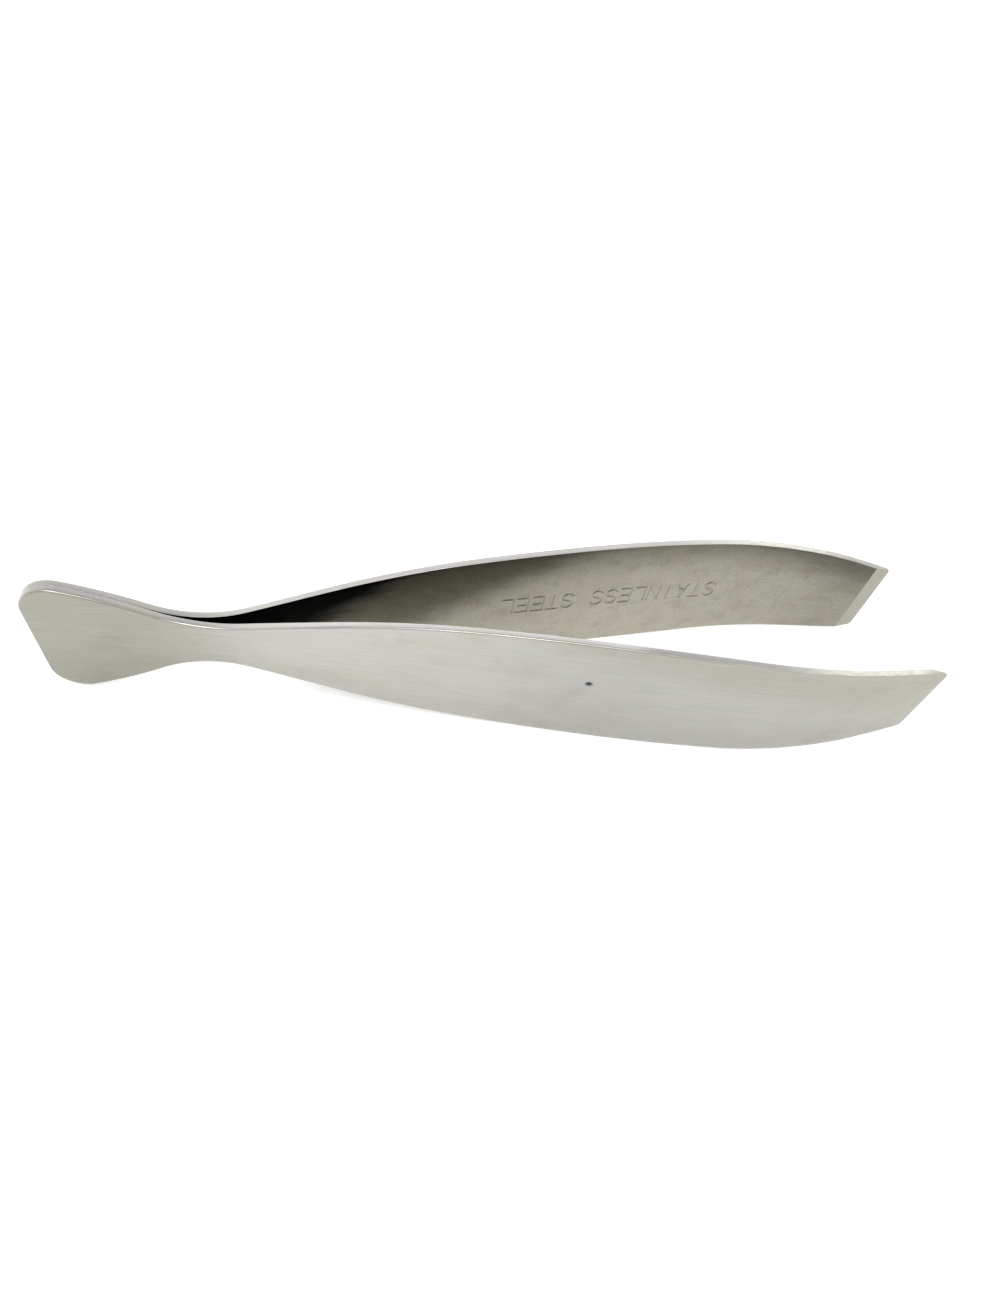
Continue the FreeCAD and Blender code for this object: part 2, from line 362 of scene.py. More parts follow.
def heel_x():
    """Where the grip face starts."""
    x = np.linspace(GRIP["pos_m"][0] - GRIP_REACH, GRIP["pos_m"][0], HEEL_SAMPLES)
    return x[np.argmax(grip_plane_y(x) > bent_inner_y(x))]


# ---------------------------------------------------------------- mesh building

def spaced(places, spacing):
    """Some of the places along a curve, with gaps that follow the spacing at each."""
    step = np.linalg.norm(np.diff(places, axis=0), axis=1)
    count = np.concatenate([[0], np.cumsum(step / (0.5 * (spacing[1:] + spacing[:-1])))])
    targets = np.linspace(0, count[-1], math.ceil(count[-1]) + 1)
    return np.unique(np.searchsorted(count, targets).clip(0, len(places) - 1))


def eased_spacing(x, plain, stretches):
    """Spacing that is fine on each (low, high, spacing) stretch and grows away from it."""
    spacing = np.full_like(x, plain)
    for low, high, fine in stretches:
        outside = np.maximum(np.maximum(low - x, x - high), 0)
        spacing = np.minimum(spacing, fine + SPACING_GROWTH * outside)
    return spacing


def fractions(half_width, fine_band=None):
    """Places across the blade from -1 to 1, finer within a band of heights."""
    z = np.linspace(-half_width, half_width, ACROSS_SAMPLES)
    stretches = [(*fine_band, FINE_SPACING)] if fine_band else []
    spacing = eased_spacing(z, PLAIN_SPACING_ACROSS, stretches)
    return z[spaced(z[:, None], spacing)] / half_width


class MeshMaker:
    """Collects vertices and faces, and makes a mesh object of them."""

    def __init__(self):
        self.points = []
        self.faces = []
        self.slots = []

    def add(self, points):
        start = len(self.points)
        self.points.extend(points)
        return list(range(start, start + len(points)))

    def strip(self, row_a, row_b, slot):
        """Quads between two rows of the same length."""
        for a, b, c, d in zip(row_a[:-1], row_a[1:], row_b[1:], row_b[:-1]):
            self.faces.append((a, b, c, d))
            self.slots.append(slot)

    def stitch(self, row_a, row_b, slot):
        """Triangles between two rows that run alike and differ in length."""
        i = j = 0
        while i < len(row_a) - 1 or j < len(row_b) - 1:
            share_a = (i + 1) / (len(row_a) - 1)
            share_b = (j + 1) / (len(row_b) - 1)
            if j == len(row_b) - 1 or (i < len(row_a) - 1 and share_a <= share_b):
                self.faces.append((row_a[i], row_a[i + 1], row_b[j]))
                i += 1
            else:
                self.faces.append((row_a[i], row_b[j + 1], row_b[j]))
                j += 1
            self.slots.append(slot)

    def build(self, name, materials, mirrored=False):
        faces = [tuple(reversed(f)) for f in self.faces] if mirrored else self.faces
        mesh = bpy.data.meshes.new(name)
        mesh.from_pydata([tuple(p) for p in self.points], [], faces)
        for material in materials:
            mesh.materials.append(material)
        mesh.polygons.foreach_set("material_index", self.slots)
        mesh.polygons.foreach_set("use_smooth", [True] * len(faces))
        mesh.update()
        obj = bpy.data.objects.new(name, mesh)
        bpy.context.scene.collection.objects.link(obj)
        return obj


# Material slots of a leaf
OUTER, EDGE, INNER, GRIP_SLOT = 0, 1, 2, 3


def rounding(x, tail_radius, radius, tip_radius):
    """Edge radius at x. It differs at the tail and the tip, and never takes too much of the sheet."""
    wanted = np.interp(x, ROUNDING_PLACES, (tail_radius, radius, radius, tip_radius))
    return np.minimum(wanted, MOST_OF_THICKNESS * (outer_y(x) - inner_y(x)))


def face_rows(maker, stations, across, radius, height, side, slot_of):
    """Rows of vertices over one broad face of a leaf, joined by faces."""
    x, z, nx, nz = stations
    inset_x = x - radius * nx
    inset_z = z - radius * nz
    end_across = np.linspace(-1, 1, END_ROW_POINTS)
    rows = []
    for i in range(len(x)):
        share = end_across if i in (0, len(x) - 1) else across
        heights = share * inset_z[i]
        places = np.full_like(heights, inset_x[i])
        y = height(places, heights)
        rows.append(maker.add(np.stack([places, side * y, heights], axis=1)))
    for i in range(len(rows) - 1):
        join = maker.strip if len(rows[i]) == len(rows[i + 1]) else maker.stitch
        join(rows[i], rows[i + 1], slot_of(0.5 * (inset_x[i] + inset_x[i + 1])))
    return rows


def rim_of(rows, stations, radius):
    """The loop round a face's rows: its vertices, and the outward normal and radius at each."""
    nx, nz = stations[2:]
    rim = list(rows[0])
    rim += [row[-1] for row in rows[1:-1]]
    rim += list(reversed(rows[-1]))
    rim += [row[0] for row in reversed(rows[1:-1])]
    ends = len(rows[0])
    sides = len(rows) - 2
    normals = [(-1.0, 0.0)] * ends
    normals += [(nx[i], nz[i]) for i in range(1, sides + 1)]
    normals += [(1.0, 0.0)] * ends
    normals += [(nx[i], -nz[i]) for i in range(sides, 0, -1)]
    radii = [radius[0]] * ends + list(radius[1:-1]) + [radius[-1]] * ends + list(radius[-2:0:-1])
    return rim, np.array(normals), np.array(radii)


def rounded_rim(maker, rim, normals, radii, height, inward, side):
    """Loops that roll a face's rim over to the sheet's wall, the rim first."""
    base = np.array([maker.points[i] for i in rim])
    loops = [rim]
    for step in range(1, ROUNDING_STEPS + 1):
        angle = 0.5 * math.pi * step / ROUNDING_STEPS
        out = radii * math.sin(angle)
        drop = radii * (1 - math.cos(angle))
        x = base[:, 0] + out * normals[:, 0]
        z = base[:, 2] + out * normals[:, 1]
        y = height(x, z) + inward * drop
        loops.append(maker.add(np.stack([x, side * y, z], axis=1)))
    return loops


def closed(loop):
    """The loop with its first vertex again at its end."""
    return list(loop) + [loop[0]]


def leaf_stations(heel, stretches):
    """Places along the upper outline as x, z and outward normal. One of them is at the heel."""
    x_all = outline[:, 0]
    stretches = stretches + [
        (x_all[0], x_all[0] + TAIL_CORNER_LENGTH, TAIL_CORNER_SPACING),
        (x_all[-1] - TIP_CORNER_LENGTH, x_all[-1], TIP_CORNER_SPACING),
        (heel, heel, 2 * FINE_SPACING),
    ]
    picks = spaced(outline, eased_spacing(x_all, PLAIN_SPACING, stretches))
    at_heel = int(np.argmin(np.abs(x_all[picks] - heel)))
    picks[at_heel] = int(np.argmin(np.abs(x_all - heel)))
    x, z = outline[picks].T
    nx = -outline_heading[picks, 1]
    nz = outline_heading[picks, 0]
    nx[0], nz[0] = -1.0, 0.0
    nx[-1], nz[-1] = 1.0, 0.0
    return x, z, nx, nz


def leaf(name, side, materials, outer_cut, inner_cut, stretches, outer_band=None, inner_band=None):
    """One leaf. side is 1 for the rear one and -1 for the front one. A cut is a depth at x and z."""
    heel = heel_x()
    stations = leaf_stations(heel, stretches)
    x, z = stations[:2]
    maker = MeshMaker()

    def outer_height(px, pz):
        return outer_y(px) - outer_cut(px, pz)

    def inner_height(px, pz):
        return inner_y(px) + inner_cut(px, pz)

    outer_radius = rounding(x, OUTER_ROUNDING_AT_TAIL, OUTER_ROUNDING, OUTER_ROUNDING_AT_TIP)
    inner_radius = rounding(x, INNER_ROUNDING, INNER_ROUNDING, INNER_ROUNDING)
    outer_rows = face_rows(maker, stations, fractions(z.max(), outer_band), outer_radius,
                           outer_height, side, lambda px: OUTER)
    inner_start = len(maker.faces)
    inner_rows = face_rows(maker, stations, fractions(z.max(), inner_band), inner_radius,
                           inner_height, side, lambda px: GRIP_SLOT if px > heel else INNER)
    maker.faces[inner_start:] = [tuple(reversed(f)) for f in maker.faces[inner_start:]]
    outer_rim = rim_of(outer_rows, stations, outer_radius)
    inner_rim = rim_of(inner_rows, stations, inner_radius)
    join_faces(maker, rounded_rim(maker, *outer_rim, outer_height, -1, side),
               rounded_rim(maker, *inner_rim, inner_height, 1, side))
    points = np.array(maker.points)
    maker.points = np.clip(points + np.array([0, 0, MIDDLE_HEIGHT]), cad_box[0], cad_box[1])
    obj = maker.build(name, materials, mirrored=side > 0)
    store_measures(obj, points, outer_cut, inner_cut, np.interp(points[:, 0], x, outer_radius))
    mark_heel_sharp(obj)
    return obj


def join_faces(maker, outer_loops, inner_loops):
    """Close a leaf with its two rounded rims and the wall between them."""
    for a, b in zip(outer_loops[:-1], outer_loops[1:]):
        maker.strip(closed(b), closed(a), OUTER)
    for a, b in zip(inner_loops[:-1], inner_loops[1:]):
        maker.strip(closed(a), closed(b), EDGE)
    maker.strip(closed(inner_loops[-1]), closed(outer_loops[-1]), EDGE)


def store_measures(obj, points, outer_cut, inner_cut, outer_radius):
    """For the materials: the rest place, and three numbers at each vertex. recess is a cut's share of
    its depth, rise goes from -1 to 1 up the blade, and roll from 0 to 1 round the outer edge."""
    x, z = points[:, 0], points[:, 2]
    y = np.abs(points[:, 1])
    store_rest_place(obj, np.stack([x / MM, z / MM, (y - inner_y(x)) / MM], axis=1))
    on_outer_half = y > 0.5 * (outer_y(x) + inner_y(x))
    recess = np.where(on_outer_half, outer_cut(x, z) / PIT_DEPTH, inner_cut(x, z) / MARK_DEPTH)
    store_number(obj, "recess", recess)
    store_number(obj, "rise", z / np.interp(x, outline[:, 0], outline[:, 1]))
    store_number(obj, "roll", np.clip((outer_y(x) - y) / outer_radius, 0, 1))


def store_rest_place(obj, place):
    """Millimetres along, across and through the sheet at each vertex, for the materials."""
    mesh = obj.data
    rest = mesh.attributes.new("rest_place", "FLOAT_VECTOR", "POINT")
    rest.data.foreach_set("vector", place.astype(np.float32).ravel())
    layer = mesh.uv_layers.new(name="along_blade")
    corner = np.zeros(len(mesh.loops), np.int32)
    mesh.loops.foreach_get("vertex_index", corner)
    u = place[corner, 0] / UV_SPAN
    v = (place[corner, 1] + place[corner, 2]) / UV_SPAN
    layer.data.foreach_set("uv", np.stack([u, v], axis=1).astype(np.float32).ravel())


def store_number(obj, name, values):
    """A number at each vertex, for the materials."""
    attribute = obj.data.attributes.new(name, "FLOAT", "POINT")
    attribute.data.foreach_set("value", values.astype(np.float32))


def mark_heel_sharp(obj):
    """The ground grip face meets the rest of the inner face in a crisp line."""
    mesh = obj.data
    slot = {}
    for face in mesh.polygons:
        for key in face.edge_keys:
            slot.setdefault(key, set()).add(face.material_index)
    for edge in mesh.edges:
        if slot[tuple(sorted(edge.vertices))] == {INNER, GRIP_SLOT}:
            edge.use_edge_sharp = True


# ---------------------------------------------------------------- stamped mark and pit

def arc_points(cx, cy, rx, ry, start, end):
    """Points on an arc of an ellipse, between two angles in degrees."""
    angles = np.radians(np.linspace(start, end, ARC_STEPS + 1))
    return [(cx + rx * math.cos(a), cy + ry * math.sin(a)) for a in angles]


# Strokes of each letter, in a box that is 1 wide and 1 high
LETTERS = {
    "S": [arc_points(0.5, 0.75, 0.5, 0.25, 25, 270) + arc_points(0.5, 0.25, 0.5, 0.25, 90, -155)],
    "T": [[(0, 1), (1, 1)], [(0.5, 1), (0.5, 0)]],
    "A": [[(0, 0), (0.5, 1), (1, 0)], [(0.18, 0.36), (0.82, 0.36)]],
    "I": [[(0.5, 0), (0.5, 1)]],
    "N": [[(0, 0), (0, 1), (1, 0), (1, 1)]],
    "L": [[(0, 1), (0, 0), (1, 0)]],
    "E": [[(1, 1), (0, 1), (0, 0), (1, 0)], [(0, 0.52), (0.85, 0.52)]],
    " ": [],
}


def mark_segments():
    """Strokes of the stamped mark as segments in x and z. It reads from the tip to the tail."""
    segments = []
    for place, letter in enumerate(MARK_TEXT):
        left = place * MARK_LETTER_PITCH
        for stroke in LETTERS[letter]:
            run = [(MARK_START - left - across * MARK_LETTER_WIDTH, (0.5 - up) * MARK_LETTER_HEIGHT)
                   for across, up in stroke]
            segments += list(zip(run[:-1], run[1:]))
    return segments


def distance_to_segments(x, z, segments):
    """Distance from each place to the nearest segment."""
    best = np.full(x.shape, np.inf)
    for (ax, az), (bx, bz) in segments:
        dx, dz = bx - ax, bz - az
        squared = dx * dx + dz * dz
        t = np.zeros_like(x)
        if squared > NO_LENGTH:
            t = np.clip(((x - ax) * dx + (z - az) * dz) / squared, 0, 1)
        best = np.minimum(best, np.hypot(x - ax - t * dx, z - az - t * dz))
    return best


MARK = mark_segments()
MARK_END = MARK_START - len(MARK_TEXT) * MARK_LETTER_PITCH


def smooth_step(low, high, value):
    """0 below low and 1 above high, eased in between."""
    t = np.clip((value - low) / (high - low), 0, 1)
    return t * t * (3 - 2 * t)


def stamped_mark(x, z):
    """Depth of the mark's strokes, with the slight rim that a punch raises beside them."""
    near = (np.abs(z) < MARK_LETTER_HEIGHT) & (x < MARK_START + MM) & (x > MARK_END - MM)
    depth = np.zeros_like(x)
    if np.any(near):
        gap = distance_to_segments(x[near], z[near], MARK)
        gap = gap / MARK_STROKE
        place, width, height = MARK_RIM
        groove = 1 - smooth_step(*MARK_WALL, gap)
        rim = np.exp(-((gap - place) / width) ** 2)
        depth[near] = MARK_DEPTH * (groove - height * rim)
    return depth


def pit(x, z):
    """Depth of the small pit."""
    away = np.hypot((x - PIT_PLACE[0]) / PIT_HALF_SIZE[0], (z - PIT_PLACE[1]) / PIT_HALF_SIZE[1])
    return PIT_DEPTH * (1 - smooth_step(PIT_FLOOR, 1.0, away))


def no_cut(x, z):
    """A face with nothing cut into it."""
    return np.zeros_like(x)


# ---------------------------------------------------------------- materials

class Nodes:
    """Short ways to add and link shader nodes."""

    def __init__(self, name):
        self.material = bpy.data.materials.new(name)
        self.material.use_nodes = True
        self.tree = self.material.node_tree
        self.tree.nodes.clear()

    def add(self, kind, **settings):
        node = self.tree.nodes.new(kind)
        for key, value in settings.items():
            setattr(node, key, value)
        return node

    def link(self, source, target):
        self.tree.links.new(source, target)

    def surface(self):
        """Add the one surface shader."""
        self.shader = self.add("ShaderNodeBsdfPrincipled")
        output = self.add("ShaderNodeOutputMaterial")
        self.link(self.shader.outputs["BSDF"], output.inputs["Surface"])
        return self.shader

    def rest_place(self, scale):
        """The place on the sheet, in millimetres, stretched by a scale along, across and through."""
        place = self.add("ShaderNodeAttribute", attribute_name="rest_place")
        stretched = self.add("ShaderNodeVectorMath", operation="MULTIPLY")
        stretched.inputs[1].default_value = scale
        self.link(place.outputs["Vector"], stretched.inputs[0])
        return stretched.outputs["Vector"]

    def noise(self, scale, detail=4.0, roughness=0.6):
        noise = self.add("ShaderNodeTexNoise")
        noise.inputs["Scale"].default_value = 1.0
        noise.inputs["Detail"].default_value = detail
        noise.inputs["Roughness"].default_value = roughness
        self.link(self.rest_place(scale), noise.inputs["Vector"])
        return noise.outputs["Fac"]

    def math(self, operation, a, b):
        node = self.add("ShaderNodeMath", operation=operation)
        for socket, value in zip(node.inputs, (a, b)):
            if isinstance(value, (int, float)):
                socket.default_value = value
            else:
                self.link(value, socket)
        return node.outputs[0]

    def spread(self, value, low, high, to_low, to_high):
        """Map a value's range onto another, eased and held at its ends."""
        node = self.add("ShaderNodeMapRange", interpolation_type="SMOOTHSTEP")
        for socket, number in zip(list(node.inputs)[1:5], (low, high, to_low, to_high)):
            socket.default_value = number
        self.link(value, node.inputs["Value"])
        return node.outputs["Result"]

    def number(self, name):
        """A number stored on the mesh."""
        return self.add("ShaderNodeAttribute", attribute_name=name).outputs["Fac"]

    def reach(self, slant=0.0):
        """The place along X in millimetres, less slant times the height, with a ragged border."""
        along = self.add("ShaderNodeSeparateXYZ")
        self.link(self.rest_place((1.0, 1.0, 1.0)), along.inputs[0])
        ragged = self.math("MULTIPLY", self.noise(RAGGED_GRAIN), RAGGED_REACH)
        reach = self.math("ADD", along.outputs["X"], ragged)
        return self.math("SUBTRACT", reach, self.math("MULTIPLY", along.outputs["Y"], slant))

    def blend(self, value, stretch, colour, how="MIX"):
        """Blend the base colour into another one as the value runs over the stretch."""
        target = self.shader.inputs["Base Color"]
        share = self.spread(value, *stretch)
        self.link(self.mix(share, target.links[0].from_socket, colour, how), target)

    def tint(self, value, change):
        """Make a change of finish, or lay a painted shade or highlight, as the value runs over its stretch."""
        self.blend(value, change[:4], change.tint, how="MULTIPLY")

    def tint_along(self, *changes):
        """Make changes of finish, and lay painted shade and highlights, along the tongs."""
        for change in changes:
            self.tint(self.reach(change.slant), change)

    def mix(self, share, a, b, how="MIX"):
        """Mix two colours. The Mix node has them at inputs 6 and 7 and at output 2."""
        node = self.add("ShaderNodeMix", data_type="RGBA", blend_type=how)
        self.link(share, node.inputs["Factor"])
        for socket, value in ((node.inputs[6], a), (node.inputs[7], b)):
            if isinstance(value, tuple):
                socket.default_value = (*value, 1.0)
            else:
                self.link(value, socket)
        return node.outputs[2]


def brush_marks(n, grain):
    """Broad and fine brushing along the blade, from 0 to 1."""
    broad = n.noise(grain, detail=5.0, roughness=0.7)
    fine = n.noise(tuple(FINE_BRUSHING * size for size in grain), detail=3.0)
    broad_share, fine_share = BRUSHING_SHARES
    return n.math("ADD", n.math("MULTIPLY", broad, broad_share), n.math("MULTIPLY", fine, fine_share))


def relief(n, brushing, brush_depth, grind_depth):
    """Fine relief of the brushing and, where it has a depth, of the coarser grinding."""
    bump = n.add("ShaderNodeBump")
    bump.inputs["Strength"].default_value = 1.0
    bump.inputs["Distance"].default_value = brush_depth
    height = brushing
    if grind_depth:
        grinding = n.noise(GRINDING_GRAIN, detail=4.0, roughness=0.75)
        height = n.math("ADD", brushing, n.math("MULTIPLY", grinding, grind_depth / brush_depth))
    n.link(height, bump.inputs["Height"])
    n.link(bump.outputs["Normal"], n.shader.inputs["Normal"])


def brushed_steel(name, light, dark, warm, roughness, brush_depth, brush_grain=BRUSH_GRAIN,
                  anisotropy=0.5, grind_depth=0.0, recess_shade=0.0):
    """Satin stainless whose brushing runs along the blade."""
    n = Nodes(name)
    shader = n.surface()
    brushing = brush_marks(n, brush_grain)
    mottle = n.noise(MOTTLE_GRAIN, detail=3.0, roughness=0.55)
    colour = n.mix(n.spread(brushing, *BRUSHING_TONE), dark, light)
    colour = n.mix(n.spread(mottle, *MOTTLE_TONE), colour, warm)
    # Painted shade in the recesses: the pit's bottom and the mark's strokes darken by their depth
    colour = n.mix(n.math("MULTIPLY", n.number("recess"), recess_shade), colour, RECESS_SHADE)
    n.link(colour, shader.inputs["Base Color"])
    shader.inputs["Metallic"].default_value = 1.0
    shader.inputs["Anisotropic"].default_value = anisotropy
    tangent = n.add("ShaderNodeTangent", direction_type="UV_MAP", uv_map="along_blade")
    n.link(tangent.outputs["Tangent"], shader.inputs["Tangent"])
    swing = (roughness - ROUGHNESS_SWING, roughness + ROUGHNESS_SWING)
    rough = n.math("ADD", n.spread(brushing, *BRUSHING_CONTRAST, *swing),
                   n.spread(mottle, *MOTTLE_ROUGHNESS))
    n.link(rough, shader.inputs["Roughness"])
    relief(n, brushing, brush_depth, grind_depth)
    return n


def outer_steel():
    """Outer faces: dull at the tail, with a painted highlight round the neck, polished and brightened by a painted
    highlight on the roundings at both ends, with painted shade towards the lower edge, with smudges and scratches,
    and painted shade in the pit's bottom."""
    n = brushed_steel("brushed_outer", light=(0.465, 0.46, 0.445), dark=(0.392, 0.387, 0.367),
                      warm=(0.43, 0.42, 0.385), roughness=0.34, brush_depth=0.006 * MM, recess_shade=0.95)
    n.tint_along(OUTER_NECK_SHEEN, OUTER_TAIL, OUTER_TIP, OUTER_SHOULDER)
    n.tint(n.number("rise"), OUTER_LOWER_SHADE)
    # Polish and a painted highlight brighten the roundings at the tail and the tip
    for polish_and_sheen in (TAIL_POLISH_AND_SHEEN, TIP_POLISH_AND_SHEEN):
        across = n.spread(n.number("roll"), *POLISH_AND_SHEEN_ACROSS)
        share = n.math("MULTIPLY", across, n.spread(n.reach(), *polish_and_sheen[:4]))
        n.tint(share, Change(*WHOLE_STRETCH, polish_and_sheen.tint))
    n.tint(n.noise(SMUDGE_GRAIN, detail=3.0), SMUDGES)
    n.tint(n.noise(SCRATCH_GRAIN, detail=1.0), SCRATCHES)
    return n.material


def inner_steel():
    """Inner faces, with painted shade: dark in the crotch, and darker towards the tip and along the upper part."""
    n = brushed_steel("brushed_inner", light=(0.505, 0.49, 0.427), dark=(0.453, 0.437, 0.372),
                      warm=(0.475, 0.448, 0.367), roughness=0.36, brush_depth=0.004 * MM,
                      brush_grain=(0.35, 3.0, 3.0), anisotropy=0.2, recess_shade=0.2)
    n.tint(n.noise(INNER_FINE_GRAIN, detail=3.0, roughness=0.7), INNER_FINE)
    n.tint(n.noise(INNER_BLOTCH_GRAIN), INNER_BLOTCHES)
    n.tint_along(INNER_TIP, INNER_END, INNER_TIP_CORNER)
    n.tint(n.number("rise"), INNER_UPPER_SHADE)
    n.tint_along(CROTCH_SHADE_FADE, CROTCH_PAINTED_SHADE)
    return n.material


def edge_steel(name, dull, tip_grinding, end):
    """Sheet edges: dull along a stretch of the arm, then ground coarse and bright near the tip."""
    n = brushed_steel(name, light=(0.76, 0.745, 0.735), dark=(0.62, 0.605, 0.595),
                      warm=(0.70, 0.68, 0.64), roughness=0.33, brush_depth=0.006 * MM,
                      grind_depth=0.010 * MM, anisotropy=0.3)
    grit = n.mix(n.spread(n.noise(GRIT_GRAIN), *GRIT_TONE), GRIT_DARK, GRIT_LIGHT)
    n.tint_along(EDGE_TAIL, dull)
    n.blend(n.reach(), tip_grinding, grit)
    n.tint_along(end)
    return n.material


def grip_steel():
    """Grip faces, ground flat."""
    n = brushed_steel("ground_grip", light=(0.36, 0.345, 0.305), dark=(0.30, 0.29, 0.25),
                      warm=(0.33, 0.315, 0.265), roughness=0.30, brush_depth=0.005 * MM,
                      grind_depth=0.006 * MM, anisotropy=0.2)
    return n.material


def weld_steel():
    """The weld, ground and polished."""
    n = brushed_steel("polished_weld", light=(0.52, 0.515, 0.495), dark=(0.44, 0.435, 0.415),
                      warm=(0.48, 0.465, 0.42), roughness=0.33, brush_depth=0.006 * MM,
                      brush_grain=(0.6, 0.6, 2.0), anisotropy=0.2)
    return n.material


# ---------------------------------------------------------------- weld bead

def bead_path():
    """The weld's path round the tail's end, as x, z and outward normal at each place."""
    near = outline[:, 0] <= outline[0, 0] + BEAD_REACH
    corner = outline[near]
    heading = outline_heading[near]
    picks = spaced(corner, np.full(len(corner), BEAD_SPACING))
    x, z = corner[picks].T
    nx, nz = -heading[picks, 1], heading[picks, 0]
    nx[0], nz[0] = -1.0, 0.0
    end_z = np.linspace(-z[0], z[0], BEAD_END_POINTS)[1:-1]
    end = np.ones_like(end_z)
    path_x = np.concatenate([x[::-1], outline[0, 0] * end, x])
    path_z = np.concatenate([-z[::-1], end_z, z])
    normal_x = np.concatenate([nx[::-1], -end, nx])
    normal_z = np.concatenate([-nz[::-1], 0 * end, nz])
    return path_x, path_z, normal_x, normal_z


def bead_section():
    """The weld's section, each point as y, how far out it is, and its share of the sink."""
    crown = [(share * BEAD_HALF_WIDTH, -BEAD_CROWN * share * share - BEAD_SETBACK, 1.0)
             for share in np.linspace(-1, 1, BEAD_CROWN_POINTS)]
    return crown + [(BEAD_HALF_WIDTH, -BEAD_ROOT, 0.0), (-BEAD_HALF_WIDTH, -BEAD_ROOT, 0.0)]


def weld_bead(material):
    """The bead along the tail's end and round its corners, ground flush. It sinks at its two ends."""
    path = bead_path()
    fade = np.clip((outline[0, 0] + BEAD_REACH - path[0]) / BEAD_FADE, 0, 1)
    sink = (1 - fade) * INNER_ROUNDING
    section = bead_section()
    maker = MeshMaker()
    loops = []
    for px, pz, nx, nz, down in zip(*path, sink):
        ring = [(px + nx * (out - down * share), y, pz + nz * (out - down * share) + MIDDLE_HEIGHT)
                for y, out, share in section]
        loops.append(maker.add(ring))
    for a, b in zip(loops[:-1], loops[1:]):
        maker.strip(closed(a), closed(b), 0)
    maker.faces += [tuple(reversed(loops[0])), tuple(loops[-1])]
    maker.slots += [0, 0]
    obj = maker.build("tail_end_weld_bead", [material])
    points = np.array(maker.points)
    store_rest_place(obj, np.stack([points[:, 0], points[:, 2], points[:, 1]], axis=1) / MM)
    return obj


# ---------------------------------------------------------------- the tongs

outer = outer_steel()
inner = inner_steel()
grip = grip_steel()
weld = weld_steel()
rear_edge = edge_steel("ground_rear_edge", REAR_EDGE_DULL, REAR_TIP_GRINDING, REAR_EDGE_END)
front_edge = edge_steel("ground_front_edge", FRONT_EDGE_DULL, FRONT_TIP_GRINDING, FRONT_EDGE_END)

rear_leaf = leaf("rear_leaf", 1, [outer, rear_edge, inner, grip], no_cut, stamped_mark,
                 stretches=[(MARK_END, MARK_START + MARK_MARGIN, FINE_SPACING)],
                 inner_band=(-MARK_BAND, MARK_BAND))
pit_x, pit_z = PIT_PLACE
reach_x, reach_z = PIT_FINE_REACH
front_leaf = leaf("front_leaf", -1, [outer, front_edge, inner, grip], pit, no_cut,
                  stretches=[(pit_x - reach_x, pit_x + reach_x, PIT_SPACING)],
                  outer_band=(pit_z - reach_z, pit_z + reach_z))
bead = weld_bead(weld)

for piece, arm in ((rear_leaf, "rear_arm"), (front_leaf, "front_arm")):
    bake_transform(piece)
    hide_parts(arm, arm.replace("arm", "tail_plate"))
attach(bead, "tail")
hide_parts("tail_end_weld")


# ---------------------------------------------------------------- floor, light and camera

def floor_material():
    """Matt and nearly white, with a glow of its own."""
    n = Nodes("pale_floor")
    shader = n.surface()
    shader.inputs["Base Color"].default_value = FLOOR_COLOUR
    shader.inputs["Roughness"].default_value = FLOOR_ROUGHNESS
    shader.inputs["Specular IOR Level"].default_value = 0.0
    shader.inputs["Emission Color"].default_value = FLOOR_GLOW_COLOUR
    shader.inputs["Emission Strength"].default_value = FLOOR_GLOW
    return n.material


def studio_floor():
    """The floor that the tongs stand on."""
    mesh = bpy.data.meshes.new("studio_floor")
    turns = ((-1, -1), (1, -1), (1, 1), (-1, 1))
    corners = [(x * FLOOR_HALF_SIZE, y * FLOOR_HALF_SIZE, 0) for x, y in turns]
    mesh.from_pydata(corners, [], [(0, 1, 2, 3)])
    mesh.materials.append(floor_material())
    floor = bpy.data.objects.new("studio_floor", mesh)
    floor.location.z = cad_box[0].z
    bpy.context.scene.collection.objects.link(floor)


def softbox(name, azimuth, elevation, distance, size, floor_light):
    """A soft light aimed at the tongs. floor_light is about how bright it makes a white floor."""
    azimuth, elevation = math.radians(azimuth), math.radians(elevation)
    toward = Vector((math.sin(azimuth) * math.cos(elevation), math.cos(azimuth) * math.cos(elevation),
                     math.sin(elevation)))
    data = bpy.data.lights.new(name, "AREA")
    data.shape = "RECTANGLE"
    data.size, data.size_y = size
    data.energy = floor_light * (math.pi * distance) ** 2 / math.sin(elevation)
    light = bpy.data.objects.new(name, data)
    light.location = distance * toward
    light.rotation_euler = toward.to_track_quat("Z", "Y").to_euler()
    bpy.context.scene.collection.objects.link(light)


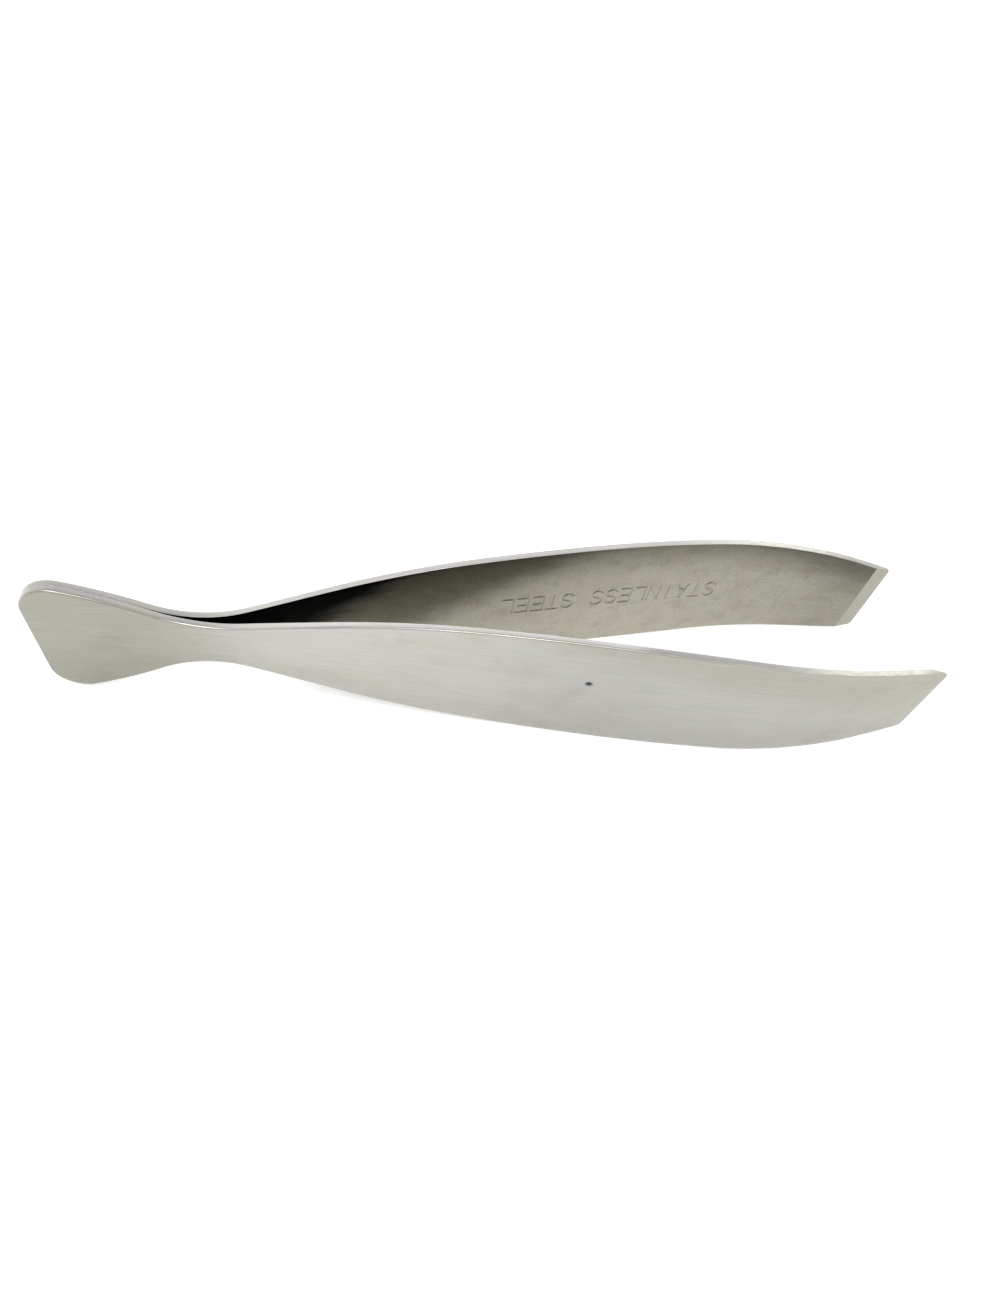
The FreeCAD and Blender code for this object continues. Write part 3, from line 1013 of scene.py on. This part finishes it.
def studio_room():
    """A room with pale walls, the back one brightest, and a darker ceiling."""
    world = bpy.data.worlds.new("studio_room")
    world.use_nodes = True
    tree = world.node_tree
    direction = tree.nodes.new("ShaderNodeTexCoord")
    parts = tree.nodes.new("ShaderNodeSeparateXYZ")
    tree.links.new(direction.outputs["Generated"], parts.inputs[0])

    def fade(value, low, high, to_low, to_high):
        node = tree.nodes.new("ShaderNodeMapRange")
        node.interpolation_type = "SMOOTHSTEP"
        tree.links.new(value, node.inputs["Value"])
        for socket, number in zip(list(node.inputs)[1:4], (low, high, to_low)):
            socket.default_value = number
        if isinstance(to_high, float):
            node.inputs["To Max"].default_value = to_high
        else:
            tree.links.new(to_high, node.inputs["To Max"])
        return node

    walls = fade(parts.outputs["Y"], -1.0, 1.0, ROOM_FRONT, ROOM_BACK)
    high, low = (math.sin(math.radians(elevation)) for elevation in ROOM_FADE[::-1])
    room = fade(parts.outputs["Z"], high, low, ROOM_CEILING, walls.outputs["Result"])
    background = tree.nodes["Background"]
    background.inputs["Color"].default_value = ROOM_COLOUR
    tree.links.new(room.outputs["Result"], background.inputs["Strength"])
    bpy.context.scene.world = world


def photo_camera():
    """The camera at the photo's angle, which looks past the tongs' middle by a little."""
    azimuth = math.radians(CAMERA_AZIMUTH)
    elevation = math.radians(CAMERA_ELEVATION)
    roll = math.radians(CAMERA_ROLL)
    look = Vector((-math.sin(azimuth) * math.cos(elevation), math.cos(azimuth) * math.cos(elevation),
                   -math.sin(elevation)))
    level_right = Vector((math.cos(azimuth), math.sin(azimuth), 0))
    level_up = level_right.cross(look)
    right = math.cos(roll) * level_right + math.sin(roll) * level_up
    up = -math.sin(roll) * level_right + math.cos(roll) * level_up
    data = bpy.data.cameras.new("photo_camera")
    data.lens = CAMERA_LENS
    data.sensor_width = CAMERA_SENSOR
    data.clip_start = CAMERA_CLIP_START
    camera = bpy.data.objects.new("photo_camera", data)
    middle = Vector((0, 0, MIDDLE_HEIGHT))
    place = middle - OBJECT_RIGHT_OF_AXIS * right - OBJECT_ABOVE_AXIS * up - CAMERA_DISTANCE * look
    turn = Matrix((right, up, -look)).transposed().to_4x4()
    camera.matrix_world = Matrix.Translation(place) @ turn
    bpy.context.scene.collection.objects.link(camera)
    bpy.context.scene.camera = camera


studio_floor()
studio_room()
softbox("key_softbox", *KEY_SOFTBOX)
photo_camera()
bpy.context.scene.view_settings.view_transform = "Standard"
